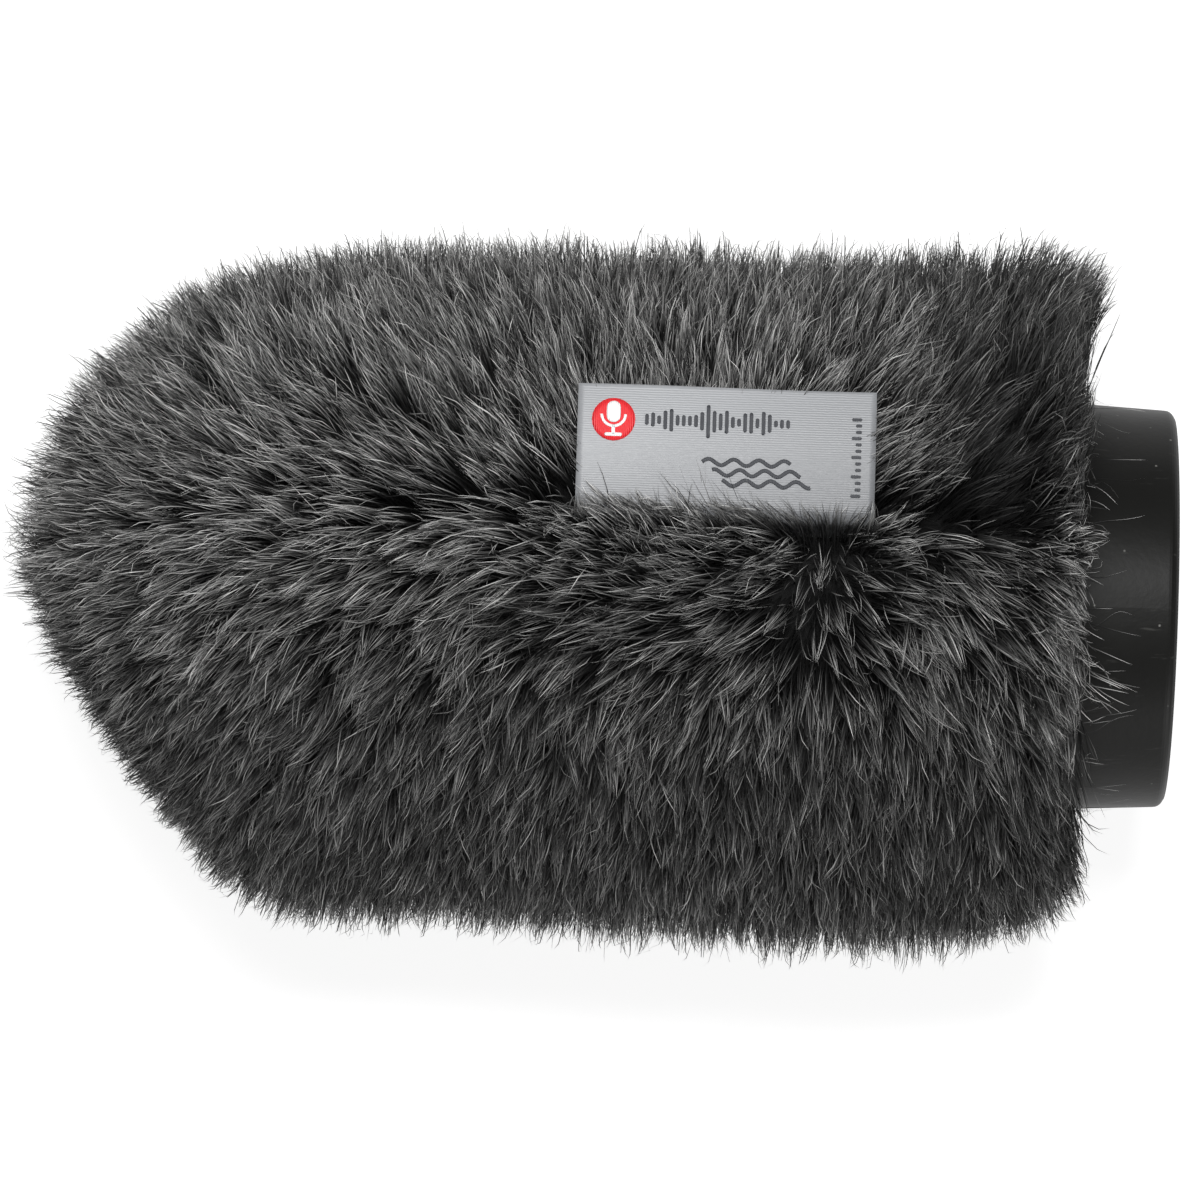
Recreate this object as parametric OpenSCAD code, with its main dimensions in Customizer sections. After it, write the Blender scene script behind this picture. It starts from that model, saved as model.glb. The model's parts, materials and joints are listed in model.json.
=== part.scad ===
// Slip-on furry windscreen for a shotgun microphone.
// The microphone's axis is X and its bore opens at the origin, towards +X.
// The nose points to -X, and the label lies on top, towards +Z.

/* [Microphone fit] */
// Diameter of the rubber bore that grips the microphone
grip_d = 19; // [16:0.5:23]
// Length of the gripping bore
grip_length = 22; // [16:1:30]
// Diameter of the slot in the foam, round the microphone
slot_d = 25; // [20:0.5:30]
// Length of the slot ahead of the gripping bore
slot_length = 120; // [80:5:180]

/* [Foam] */
// Diameter of the foam core
foam_d = 60; // [50:1:74]
// Foam left ahead of the slot
nose_wall = 10; // [6:0.5:16]

/* [Collar] */
// How far the collar shows behind the fur
collar_show = 15; // [10:0.5:20]
// How far the skirt runs on under the fur
skirt_lap = 13; // [11:0.5:18]
// Wall of the skirt
skirt_wall = 2.6; // [2:0.1:3.6]
// Wall of the gripping sleeve
sleeve_wall = 3.5; // [2.5:0.1:4.5]
// Depth of the dished rear face
dish_depth = 4; // [2.5:0.5:6]
// Thickness of the web that joins skirt and sleeve
web = 3; // [2:0.5:4]
// How much smaller the skirt's radius is at the rear face
draft = 0.7; // [0.3:0.1:1.2]
// Rounding of the rear outer edge
rim_round = 1.5; // [0.8:0.1:2.4]
// Number of stiffening ribs in the dish
ribs = 8; // [5:1:12]
// Thickness of a stiffening rib
rib = 1.6; // [1:0.1:2.4]

/* [Fur] */
// Thickness of the fur over the foam, from backing to hair tips
pile = 20.9; // [15:0.5:26]
// Thickness of the fur ahead of the nose
nose_pile = 20; // [14:0.5:24]
// Width of the rear cuff, from hem to cuff seam
cuff_width = 16; // [14:0.5:22]
// How far the fur under the part is pressed flat by the table
press = 6; // [3:0.5:9]
// Angle of the panel seams from vertical
seam_angle = 15; // [0:1:25]

/* [Label] */
// Width of the label, along the seam
label_w = 44; // [30:1:55]
// Length of the label that hangs free
flap = 19; // [16:0.5:24]
// Thickness of the folded label
label_t = 0.8; // [0.6:0.1:1.2]
// Distance from the rear face to the middle of the label
label_at = 68; // [62:0.5:80]
// Depth of the fold below the fur's surface
label_sink = 6; // [4:0.5:8]
// Diameter of the round emblem
emblem = 6.4; // [4:0.2:8]

/* [Thread] */
// Radius of the sewing thread
thread_r = 0.35; // [0.25:0.05:0.5]
// Distance between stitches along a seam
pitch = 4; // [3:0.5:6]

/* [Hidden] */
gap = 0.4;                 // between neighbouring pieces
bond = 0.4;                // thickness of an adhesive film
eps = 0.01;                // overlap of cuts
cut_past = 12;             // how far cutters run past the fur
edge = 0.8;                // small moulded edges
groove_depth = 1.1;        // the hem's groove in the skirt
groove_w = 4.6;
groove_lead = 2.2;         // from the fur's edge to the groove
land_w = 6;                // one gripping land in the bore
land_relief = 0.7;         // depth of the reliefs between lands
valley_drop = 1.2;         // valley floor below the label's fold
valley_angle = 45;         // each side of the parting, from the seam plane
flap_lie = 85;             // the label at rest, from the seam plane
corner_r = 10;             // rounding of the cuff's outer corner
cuff_lean = 3.5;           // how far the cuff's hair leans back over the collar
rebate = 1.8;              // room for thread along a seam, inside the backing
stitch = 3;                // length of one stitch
mark_t = 0.15;             // thickness of what is woven on the label
legend_bars = 15;          // bars in the label's level pattern
smooth = 96;

grip_r = grip_d / 2;
slot_r = slot_d / 2;
foam_r = foam_d / 2;
sleeve_r = grip_r + sleeve_wall;
skirt_r = foam_r + draft;
skirt_in = skirt_r - skirt_wall;
skirt_end = collar_show + skirt_lap;
web_front = dish_depth + web;
foam_start = web_front + bond;
slot_end = grip_length + slot_length;
dome_at = slot_end + nose_wall - foam_r;
nose_r = sqrt(pow(foam_r, 2) - pow(slot_end - dome_at, 2));
fabric_r = skirt_r + gap;
fur_r = fabric_r + pile;
fur_dome_at = dome_at + fabric_r + nose_pile - fur_r;
cuff_seam = collar_show + cuff_width;
groove_at = collar_show + groove_lead;
groove_r = skirt_r - groove_depth;
rest_depth = fur_r - press;
fold_r = fur_r - label_sink;
valley_r = fold_r - valley_drop;
thread_at = fabric_r + rebate / 2;
label_0 = label_at - label_w / 2;
label_1 = label_at + label_w / 2;
far = fur_dome_at + fur_r + cut_past;

function arc(centre, r, from, to, steps = 6) =
    [for (i = [0:steps]) centre + r * [cos(from + (to - from) * i / steps),
                                       sin(from + (to - from) * i / steps)]];

// Everything is drawn standing on its rear face, with X up off the table, and laid down here.
module laid() rotate([0, -90, 0]) children();

// Turns an outline of [radius, distance ahead of the rear face] points round the axis.
module turned(outline) rotate_extrude($fn = smooth) polygon(outline);

module ring(r_in, r_out, from, to) turned([[r_in, from], [r_out, from], [r_out, to], [r_in, to]]);

// Turns the panel seam plane to lie at y = 0.
module at_seam() rotate([0, 0, seam_angle]) children();

// ---- collar ----

module collar_section()
    turned(concat(
        [[grip_r, 0], [sleeve_r - edge, 0], [sleeve_r, edge], [sleeve_r, dish_depth]],
        [[skirt_in, dish_depth], [skirt_in, edge], [skirt_in + edge, 0]],
        arc([foam_r - rim_round, rim_round], rim_round, -90, 0),
        [[skirt_r, collar_show], [skirt_r, groove_at], [groove_r, groove_at]],
        [[groove_r, groove_at + groove_w], [skirt_r, groove_at + groove_w]],
        [[skirt_r, skirt_end - edge], [skirt_r - edge, skirt_end], [skirt_in, skirt_end]],
        [[skirt_in, web_front], [sleeve_r, web_front], [sleeve_r, grip_length]],
        [[grip_r, grip_length]]));

// Reliefs leave a gripping land at each end and one in the middle.
module bore_reliefs() {
    relief = (grip_length - 3 * land_w) / 2;
    for (i = [0, 1])
        ring(grip_r - eps, grip_r + land_relief,
             land_w + i * (land_w + relief), land_w + i * (land_w + relief) + relief);
}

module end_collar()
    color("#1b1b1a") difference() {
        union() {
            collar_section();
            for (i = [0:ribs - 1])
                rotate([0, 0, 360 * (i + 0.5) / ribs])
                    translate([sleeve_r - edge, -rib / 2, edge + 0.4])
                        cube([skirt_in - sleeve_r + 2 * edge, rib, dish_depth - edge]);
        }
        bore_reliefs();
    }

module hem_elastic()
    color("#26262a")
        ring(groove_r + gap / 2, fabric_r - gap / 2, groove_at + gap, groove_at + groove_w - gap);

module collar_bond()
    color("#5a5648") ring(sleeve_r + 2 * gap, skirt_in - 2 * gap, web_front, foam_start);

// ---- foam core ----

// Bullet shape: a cylinder from a given distance to the dome, and the dome.
module bullet(r, from, dome) {
    translate([0, 0, from]) cylinder(r = r, h = dome - from, $fn = smooth);
    translate([0, 0, dome]) sphere(r = r, $fn = smooth);
}

// The tube is cut off where the slot ends, part of the way round the dome.
module foam_tube()
    color("#3a3a3c") difference() {
        bullet(foam_r, foam_start, dome_at);
        translate([0, 0, slot_end])
            cylinder(r = foam_r + cut_past, h = foam_r + cut_past, $fn = smooth);
        translate([0, 0, grip_length + gap])
            cylinder(r = slot_r, h = slot_end - grip_length, $fn = smooth);
        cylinder(r = sleeve_r + gap, h = grip_length + gap, $fn = smooth);
        ring(skirt_in - gap, foam_r + cut_past, 0, skirt_end + gap);
    }

module nose_bond()
    color("#5a5648") ring(slot_r + gap, nose_r - gap, slot_end, slot_end + bond);

module foam_nose()
    color("#3a3a3c") difference() {
        translate([0, 0, dome_at]) sphere(r = foam_r, $fn = smooth);
        translate([0, 0, slot_end + bond - 2 * foam_r - cut_past])
            cylinder(r = foam_r + cut_past, h = 2 * foam_r + cut_past, $fn = smooth);
    }

// ---- fur cover ----

// What the table presses flat.
module table()
    translate([-rest_depth - 2 * fur_r, -2 * fur_r, -cut_past])
        cube([2 * fur_r, 4 * fur_r, far + 2 * cut_past]);

// The parting along the upper seam. Beside the label its right side lies down to the flap.
module parting(from, to, right_angle) {
    reach = fur_r + cut_past - valley_r;
    translate([0, 0, from]) linear_extrude(to - from)
        polygon([[valley_r, 0], [valley_r + reach, -reach * tan(valley_angle)],
                 [valley_r + reach, reach * tan(min(right_angle, 60))],
                 valley_r * [1, 0] + (flap + 3) * [cos(right_angle), sin(right_angle)]]);
}

// Room for thread inside the backing, along both long seams and over the nose.
module thread_room() {
    w = stitch + 2 * gap;
    r = fabric_r + rebate;
    translate([-r, -w / 2, cuff_seam]) cube([2 * r, w, dome_at - cuff_seam]);
    translate([0, 0, dome_at]) rotate([90, 0, 0])
        cylinder(r = r, h = w, center = true, $fn = smooth);
}

// Room for the label's root and the stitches through it.
module label_room() {
    translate([0, -label_t / 2 - gap, label_0 - gap])
        cube([fold_r, label_t + 2 * gap, label_w + 2 * gap]);
    translate([0, -stitch / 2 - gap, label_0 - gap])
        cube([fabric_r + 2 * rebate, stitch + 2 * gap, label_w + 2 * gap]);
}

module fur_panel(side)
    color("#3b3b3a") difference() {
        bullet(fur_r, cuff_seam + gap / 2, fur_dome_at);
        bullet(fabric_r, 0, dome_at);
        translate([0, 0, cuff_seam - 2 * fur_r])
            cylinder(r = 2 * fur_r, h = 2 * fur_r + gap / 2, $fn = smooth);
        table();
        at_seam() {
            translate([-2 * fur_r, side > 0 ? gap / 2 - 4 * fur_r : -gap / 2, -cut_past])
                cube([4 * fur_r, 4 * fur_r, far + 2 * cut_past]);
            parting(0, far, valley_angle);
            parting(label_0 - 1, label_1 + 1, flap_lie);
            thread_room();
            label_room();
        }
        ring(0, fabric_r + rebate, cuff_seam, cuff_seam + stitch / 2 + gap);
    }

module right_fur_panel() fur_panel(1);

module left_fur_panel() fur_panel(-1);

module rear_fur_cuff() {
    back = collar_show - cuff_lean;
    color("#3b3b3a") difference() {
        turned(concat(
            [[fabric_r, collar_show], [fabric_r + pile / 3, back + 1]],
            arc([fur_r - corner_r, back + corner_r], corner_r, -90, 0),
            [[fur_r, cuff_seam - gap / 2], [fabric_r, cuff_seam - gap / 2]]));
        table();
        at_seam() {
            translate([0, -gap / 2, 0]) cube([2 * fur_r, gap, cuff_seam]);
            parting(0, cuff_seam, valley_angle);
        }
        ring(0, fabric_r + rebate, cuff_seam - stitch / 2 - gap, cuff_seam);
        ring(0, fabric_r + rebate, groove_at, groove_at + stitch + 2 * gap);
    }
}

// ---- thread ----

module thread(length) cylinder(r = thread_r, h = length, center = true, $fn = 16);

module across() rotate([90, 0, 0]) thread(stitch);

module panel_seam_thread() {
    first = cuff_seam + stitch;
    count = floor((dome_at - first) / pitch);
    turn = 2 * asin(pitch / 2 / thread_at);
    over = floor(90 / turn);
    color("#202020") at_seam() {
        for (i = [0:count], s = [-1, 1])
            translate([s * thread_at, 0, first + i * pitch]) across();
        for (i = [1 - over:over - 1])
            translate([0, 0, dome_at])
                rotate([0, i * turn, 0]) translate([0, 0, thread_at]) across();
    }
}

// A ring of stitches that lie along the axis.
module stitch_ring(at) {
    count = floor(2 * PI * thread_at / pitch);
    for (i = [0:count - 1])
        rotate([0, 0, seam_angle + 360 * (i + 0.5) / count])
            translate([thread_at, 0, at]) thread(stitch);
}

module cuff_seam_thread() color("#202020") stitch_ring(cuff_seam);

module hem_thread() color("#202020") stitch_ring(groove_at + gap + stitch / 2);

// ---- label ----

// Places of the stitches through the label's root, along the label.
stitch_row = [for (i = [0:floor((label_w - pitch) / pitch)]) label_0 + pitch / 2 + i * pitch];
root_stitch_r = fabric_r + rebate + thread_r + gap;

// Rows of stitches that pass through the root: the seam's own and the label's.
module root_holes() {
    first = cuff_seam + stitch;
    for (i = [0:floor((dome_at - first) / pitch)])
        translate([thread_at, 0, first + i * pitch]) rotate([90, 0, 0])
            cylinder(r = thread_r + 0.1, h = stitch, center = true, $fn = 16);
    for (z = stitch_row)
        translate([root_stitch_r, 0, z]) rotate([90, 0, 0])
            cylinder(r = thread_r + 0.1, h = stitch, center = true, $fn = 16);
}

module label_root()
    color("#b9bcc0") at_seam() difference() {
        translate([fabric_r + gap / 2, -label_t / 2, label_0])
            cube([fold_r - label_t / 2 - gap - fabric_r - gap / 2, label_t, label_w]);
        root_holes();
    }

module label_stitches()
    color("#202020") at_seam() for (z = stitch_row) translate([root_stitch_r, 0, z]) across();

// The flap's own frame: X runs from the fold to the free edge, Y faces away from the fur.
module on_flap()
    at_seam() translate([fold_r, 0, 0]) rotate([0, 0, flap_lie]) mirror([0, 1, 0]) children();

module label_flap()
    color("#b9bcc0") on_flap() {
        translate([0, 0, label_0]) cylinder(r = label_t / 2, h = label_w, $fn = 48);
        translate([0, -label_t / 2, label_0]) cube([flap, label_t, label_w]);
    }

// Something woven on the label's face: from_fold and from_nose place its lower left corner.
module woven(from_fold, from_nose, high, wide, lift = 0)
    translate([from_fold, label_t / 2 + lift, label_1 - from_nose - wide])
        cube([high, mark_t, wide]);

emblem_low = flap - emblem - 2.2;
emblem_left = 2;

module label_emblem()
    color("#d8232a") on_flap()
        translate([emblem_low + emblem / 2, label_t / 2, label_1 - emblem_left - emblem / 2])
            rotate([-90, 0, 0]) cylinder(r = emblem / 2, h = mark_t, $fn = 64);

// A plain microphone sign: head, stem and foot.
module emblem_mark()
    color("white") on_flap() {
        head = emblem / 3;
        mid = emblem_left + emblem / 2;
        woven(emblem_low + 0.42 * emblem, mid - head / 2, 0.42 * emblem, head, mark_t);
        woven(emblem_low + 0.24 * emblem, mid - head / 6, 0.18 * emblem, head / 3, mark_t);
        woven(emblem_low + 0.14 * emblem, mid - head / 2, 0.1 * emblem, head, mark_t);
    }

// Level bars, a rule below them and a column of ticks.
module label_legend()
    color("#3a3d42") on_flap() {
        left = emblem_left + emblem + 1.6;
        right = 4;
        step = (label_w - left - right - 2) / legend_bars;
        middle = emblem_low + emblem / 2;
        for (i = [0:legend_bars - 1]) {
            high = 1.2 + 3.6 * abs(sin(47 * i + 20)) * sin(180 * (i + 1) / (legend_bars + 1));
            woven(middle - high / 2, left + i * step, high, step * 0.45);
        }
        woven(middle - 5.2, left + 3 * step, 0.5, (legend_bars - 4) * step);
        for (i = [0:5])
            woven(emblem_low - 3 + i * 1.8, label_w - right + 0.6, 0.7, i % 2 == 0 ? 1.4 : 0.8);
    }

laid() end_collar();
laid() hem_elastic();
laid() collar_bond();
laid() foam_tube();
laid() nose_bond();
laid() foam_nose();
laid() right_fur_panel();
laid() left_fur_panel();
laid() rear_fur_cuff();
laid() panel_seam_thread();
laid() cuff_seam_thread();
laid() hem_thread();
laid() label_root();
laid() label_stitches();
laid() label_flap();
laid() label_emblem();
laid() emblem_mark();
laid() label_legend();
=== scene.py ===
# Furry windscreen: rubber collar, foam core, sewn long-pile cover and a woven label.
# Metres, with the microphone's bore along X, its mouth at the origin and the nose towards -X.
import json
import math
import bpy
import bmesh
import numpy as np
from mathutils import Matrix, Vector


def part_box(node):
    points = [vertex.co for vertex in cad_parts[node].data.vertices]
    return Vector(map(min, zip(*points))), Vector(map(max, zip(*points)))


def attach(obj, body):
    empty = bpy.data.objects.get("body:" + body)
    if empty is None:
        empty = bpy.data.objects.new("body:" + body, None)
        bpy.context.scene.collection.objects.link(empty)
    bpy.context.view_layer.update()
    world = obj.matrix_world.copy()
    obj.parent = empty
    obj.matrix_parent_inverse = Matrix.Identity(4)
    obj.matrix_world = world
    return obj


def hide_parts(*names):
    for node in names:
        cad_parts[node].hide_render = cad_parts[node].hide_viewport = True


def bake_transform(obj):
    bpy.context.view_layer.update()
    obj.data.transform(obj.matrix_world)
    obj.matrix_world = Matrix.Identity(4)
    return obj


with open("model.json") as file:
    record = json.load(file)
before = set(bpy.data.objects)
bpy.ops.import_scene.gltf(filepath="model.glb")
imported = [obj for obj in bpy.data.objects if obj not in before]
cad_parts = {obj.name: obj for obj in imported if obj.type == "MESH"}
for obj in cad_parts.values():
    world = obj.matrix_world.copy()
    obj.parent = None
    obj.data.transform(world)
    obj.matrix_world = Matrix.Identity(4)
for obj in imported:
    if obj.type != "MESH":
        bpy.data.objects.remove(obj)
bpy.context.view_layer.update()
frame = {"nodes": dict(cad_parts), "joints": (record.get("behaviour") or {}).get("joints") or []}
random = np.random.default_rng(41)
mm = 0.001
print("frame loaded")


# Sizes read from the frame.

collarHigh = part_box("end_collar")[1]
panelLow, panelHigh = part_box("left_fur_panel")
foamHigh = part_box("foam_tube")[1]
foldAt = np.array(frame["joints"][0]["pos_m"])

body = {
    "furRadius": -panelLow.y,  # over the tips of the pile
    "backRadius": collarHigh.y + 0.7 * mm,  # middle of the backing cloth
    "foamRadius": foamHigh.y,
    "domeAt": -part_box("foam_nose")[0].x - foamHigh.y,  # ahead of the rear face, like all that follow
    "hemAt": -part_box("hem_elastic")[1].x - 2.6 * mm,  # rear edge of the fur
    "cuffSeamAt": -(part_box("rear_fur_cuff")[0].x + panelHigh.x) / 2,
    "bellyZ": panelLow.z,
    "seamAngle": math.atan2(foldAt[1], foldAt[2]),  # of the upper seam, from +Z towards +Y
}
pile = {
    "depth": body["furRadius"] - body["backRadius"],
    "tuftSpacing": 1.75 * mm,  # at the tips
    "hairsPerTuft": 13,
    "hairWidth": 0.15 * mm,
    "points": 5,  # along one hair
    "buried": 0.34,  # share of a hair that starts inside the underfur
    "lean": 12.5 * mm,  # how far tips lie beside their roots
    "gather": 0.82,  # how closely a tuft's tips meet
    "wayward": 0.11,  # share of hairs that ignore their tuft
    "black": 0.38,  # share that stay black to the tip
    "pale": 0.24,  # share of the rest that are paler
    "seamGap": 0.012,  # radians kept free beside the long seam
    "cuffGap": 0.3 * mm,  # and beside the cuff's
    "rearStop": 16.0 * mm,  # where tips stop, ahead of the collar's rear face
    "toneSteps": 64,
    # Brightness of the tips, for radians from the upper seam, with painted shade: the left panel's tips
    # darken on the flank that turns away from the top light.
    "rightTipToneAndShade": ([0, 0.5, 1.2], [0.44, 0.38, 0.32]),
    "leftTipToneAndShade": ([0, 0.3, 0.7, 1.2, 1.8], [0.50, 0.26, 0.08, 0.07, 0.26]),
    # How the pile is combed: degrees from straight away from the upper seam, towards the nose,
    # for distances ahead in mm. The seam's values fade into the open field's.
    "combAhead": [15, 20, 31, 40, 50, 60, 68, 78, 90, 104, 125],
    "rightSeam": [-50, -88, -84, -60, -75, -50, -25, 5, 55, 74, 82],
    "rightOpen": [-66, -38, -14, -8, -14, -8, -4, 0, 4, 8, 9],
    "leftSeam": [-50, -85, -84, -40, 5, 28, 42, 60, 76, 80, 84],
    "leftOpen": [-40, -22, -6, -2, 0, 2, 4, 6, 10, 16, 24],
    "foldBand": 0.11,  # radians of the left panel whose hairs lean over the label's fold
    "foldFade": 0.44,  # and of those behind them that are drawn along
    "foldComb": ([44, 50, 56, 66, 90], [-100, -98, 70, 112, 96]),  # mm ahead, and degrees as above
    # Hollows (and, below zero, swellings): mm ahead, radians from the seam, share of the depth,
    # and how far each reaches in mm and radians.
    "hollows": [(165, -1.75, 0.40, 22, 0.85), (131, 1.35, 0.12, 10, 0.5), (108, -1.83, 0.07, 12, 0.8),
                (50, -1.83, -0.06, 30, 0.8), (80, 1.31, -0.03, 45, 0.6), (173, 0.6, -0.05, 12, 1.2),
                (26, 1.35, -0.16, 12, 0.5)],
}


# Meshes.

def linkPiece(name, mesh):
    piece = bpy.data.objects.new(name, mesh)
    bpy.context.scene.collection.objects.link(piece)
    return piece


# A mesh object from an array of points and lists of faces.
def addMesh(name, points, faces, smooth=True):
    mesh = bpy.data.meshes.new(name)
    mesh.from_pydata(np.reshape(points, (-1, 3)).tolist(), [], np.asarray(faces).tolist())
    if smooth:
        mesh.shade_smooth()
    return linkPiece(name, mesh)


# Faces of a grid: point (i, j) is number i * across + j. Either way round may close on itself.
def gridFaces(along, across, closeAlong=False, closeAcross=False):
    i, j = np.meshgrid(np.arange(along - (not closeAlong)), np.arange(across - (not closeAcross)),
                       indexing="ij")
    iNext, jNext = (i + 1) % along, (j + 1) % across
    return np.stack([i * across + j, iNext * across + j, iNext * across + jNext, i * across + jNext],
                    -1).reshape(-1, 4)


# Merges doubled points, so that seams and poles close, then turns the faces outwards.
def weld(piece, distance=0.02 * mm):
    shape = bmesh.new()
    shape.from_mesh(piece.data)
    bmesh.ops.remove_doubles(shape, verts=shape.verts, dist=distance)
    bmesh.ops.recalc_face_normals(shape, faces=shape.faces)
    shape.to_mesh(piece.data)
    shape.free()
    return piece


# Gives an open sheet its thickness, half to either side.
def thicken(piece, thickness):
    solid = piece.modifiers.new("thickness", "SOLIDIFY")
    solid.thickness, solid.offset = thickness, 0


# A profile of (distance ahead of the rear face, radius) turned round the axis:
# point = (-distance, radius * sin(turn), radius * cos(turn)).
def turned(name, profile, steps=160, closed=True):
    profile = np.asarray(profile, float)
    turn = np.linspace(0, 2 * np.pi, steps, endpoint=False)
    ahead, radius = profile[:, 0][:, None], profile[:, 1][:, None]
    points = np.stack([-ahead + 0 * turn, radius * np.sin(turn), radius * np.cos(turn)], -1)
    return weld(addMesh(name, points, gridFaces(len(profile), steps, closed, True)))


def lengths(vectors):
    return np.linalg.norm(vectors, axis=-1, keepdims=True)


# Soft round lumps between -1 and 1: a sum of sine waves in fixed random directions.
def lumps(points, size, seed, waves=7):
    source = np.random.default_rng(seed)
    directions = source.normal(size=(waves, 3))
    directions /= lengths(directions)
    pitch = size * source.uniform(0.7, 1.6, waves)
    phase = source.uniform(0, 2 * np.pi, waves)
    total = np.sin(points @ (directions / pitch[:, None]).T * 2 * np.pi + phase).sum(-1)
    return total / waves ** 0.5 / 1.5


# 1 at a place, falling off to either side as exp(-(distance / wide)^2).
def bell(value, at, wide):
    return np.exp(-((value - at) / wide) ** 2)


# Eases a share between 0 and 1: 3 share^2 - 2 share^3.
def ease(share):
    return share * share * (3 - 2 * share)


# Unit vectors square to the axis. Angles start at the upper seam and grow towards +Y.
def spoke(angle):
    turn = angle + body["seamAngle"]
    return np.stack([0 * turn, np.sin(turn), np.cos(turn)], -1)


# 0 up to the dome, 1 at its nose.
def overDome(ahead):
    return np.clip((ahead - body["domeAt"]) / body["furRadius"], 0, 1)


# Places over the backing. Up to the dome a place is `ahead` of the rear face; on the dome
# sin(rise) = (ahead - domeAt) / furRadius, so equal steps ahead always cover equal areas.
# Returns the centre that each place is measured from, the unit vector out of it, and the rise.
def placeOnPile(ahead, angle):
    rise = np.arcsin(overDome(ahead))[..., None]
    outward = spoke(angle) * np.cos(rise)
    outward[..., :1] -= np.sin(rise)
    centre = np.zeros(outward.shape)
    centre[..., 0] = -np.minimum(ahead, body["domeAt"])
    return centre, outward, rise


# Shader expressions.

# Wraps an output socket. Arithmetic on wires and numbers adds Math nodes.
class Wire:
    def __init__(self, tree, socket):
        self.tree, self.socket = tree, socket

    # Any other node: its type, its settings (set first), and values or wires for its inputs.
    def add(self, kind, settings={}, values={}, output=0):
        node = self.tree.nodes.new(kind)
        for name, value in settings.items():
            setattr(node, name, value)
        for name, value in values.items():
            if isinstance(value, Wire):
                self.tree.links.new(value.socket, node.inputs[name])
            else:
                node.inputs[name].default_value = value
        return Wire(self.tree, node.outputs[output])

    def maths(self, operation, *values):
        return self.add("ShaderNodeMath", {"operation": operation}, dict(enumerate(values)))

    def __add__(self, other):
        return self.maths("ADD", self, other)

    __radd__ = __add__

    def __sub__(self, other):
        return self.maths("SUBTRACT", self, other)

    def __rsub__(self, other):
        return self.maths("SUBTRACT", other, self)

    def __mul__(self, other):
        return self.maths("MULTIPLY", self, other)

    __rmul__ = __mul__

    def __truediv__(self, other):
        return self.maths("DIVIDE", self, other)

    def __pow__(self, other):
        return self.maths("POWER", self, other)

    # 0 below one edge, 1 above the other, smooth between.
    def step(self, low, high):
        return self.add("ShaderNodeMapRange", {"interpolation_type": "SMOOTHSTEP"},
                        {"Value": self, "From Min": low, "From Max": high})

    # One colour where this is 0, the other where it is 1. A single number is a grey.
    def mix(self, first, second):
        node = self.tree.nodes.new("ShaderNodeMix")
        node.data_type = "RGBA"
        self.tree.links.new(self.socket, node.inputs[0])
        for socket in (s for s in node.inputs if s.type == "RGBA"):
            colour = {"A": first, "B": second}[socket.name]
            if isinstance(colour, Wire):
                self.tree.links.new(colour.socket, socket)
            else:
                socket.default_value = (*np.broadcast_to(colour, 3), 1)
        return Wire(self.tree, next(s for s in node.outputs if s.type == "RGBA"))


# A material: fixed values sit on the shader's own sockets, and `paint` takes a start wire
# and returns the wires that vary over the surface.
def makeMaterial(name, fixed, paint):
    made = bpy.data.materials.new(name)
    made.use_nodes = True
    tree = made.node_tree
    tree.nodes.clear()
    shader = tree.nodes.new("ShaderNodeBsdfPrincipled")
    output = tree.nodes.new("ShaderNodeOutputMaterial")
    tree.links.new(shader.outputs[0], output.inputs[0])
    for socket, value in fixed.items():
        shader.inputs[socket].default_value = value
    for socket, wire in paint(Wire(tree, None)).items():
        tree.links.new(wire.socket, shader.inputs[socket])
    return made


def objectPlace(start):
    return start.add("ShaderNodeTexCoord", output="Object")


# The three numbers of a vector, each on its own wire.
def split(vector):
    parts = vector.add("ShaderNodeSeparateXYZ", {}, {"Vector": vector}).socket.node
    return [Wire(vector.tree, socket) for socket in parts.outputs]


def noise(place, scale, detail=2.0, rough=0.5):
    return place.add("ShaderNodeTexNoise", {},
                     {"Vector": place, "Scale": scale, "Detail": detail, "Roughness": rough})


def ribs(place, way, scale, more={}):
    return place.add("ShaderNodeTexWave", {"bands_direction": way},
                     {"Vector": place, "Scale": scale, **more})


def cells(place, feature, scale):
    return place.add("ShaderNodeTexVoronoi", {"feature": feature}, {"Vector": place, "Scale": scale})


def bump(height, distance):
    return height.add("ShaderNodeBump", {}, {"Height": height, "Distance": distance})


# A hair's tone steps across its map, and its height runs up it: black at the root, pale at the tip.
def furPaint(start):
    across, along, _ = split(start.add("ShaderNodeUVMap", {"uv_map": "OFBake"}))
    tone = across.maths("FLOOR", across * float(pile["toneSteps"])) / float(pile["toneSteps"])
    tip = tone.mix(0.006, (0.76, 0.755, 0.74))
    root = along.step(0.56, 1.0) ** 1.3
    return {"Base Color": root.mix(0.005, tip)}


def underfurPaint(start):
    place = objectPlace(start)
    fuzz = noise(place, 900.0, 4.0, 0.7)
    return {"Base Color": fuzz.mix(0.003, 0.014),
            "Normal": bump(fuzz, 0.6 * mm)}


furMaterial = makeMaterial("longPile", {"Roughness": 0.55, "Specular IOR Level": 0.24}, furPaint)
underfurMaterial = makeMaterial("underfur", {"Roughness": 0.9, "Specular IOR Level": 0.1}, underfurPaint)


def finish(piece, material, rides="windscreen"):
    piece.data.materials.clear()
    piece.data.materials.append(material)
    if rides:
        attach(piece, rides)


# Label's shape, which the pile lies round.

label = {
    "from": -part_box("label_flap")[1].x,
    "to": -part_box("label_flap")[0].x,
    "thick": 0.5 * mm,
    "lie": math.radians(85),  # of the flap from the seam plane
    "length": 19.0 * mm,  # of the flap
    "sewnIn": 11 * mm,  # of the cloth below the fold
    "bend": 1.6 * mm,  # radius at the fold
    "turnsIn": 1.5 * mm,  # height over the fold in which the cloth takes up the flap's turn
    "droop": 0.9 * mm,  # how far the flap's middle stands above a straight line
    "curl": 0.35 * mm,  # of its free edge, up and down
    "rows": 70,
    "columns": 46,
}


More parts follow.
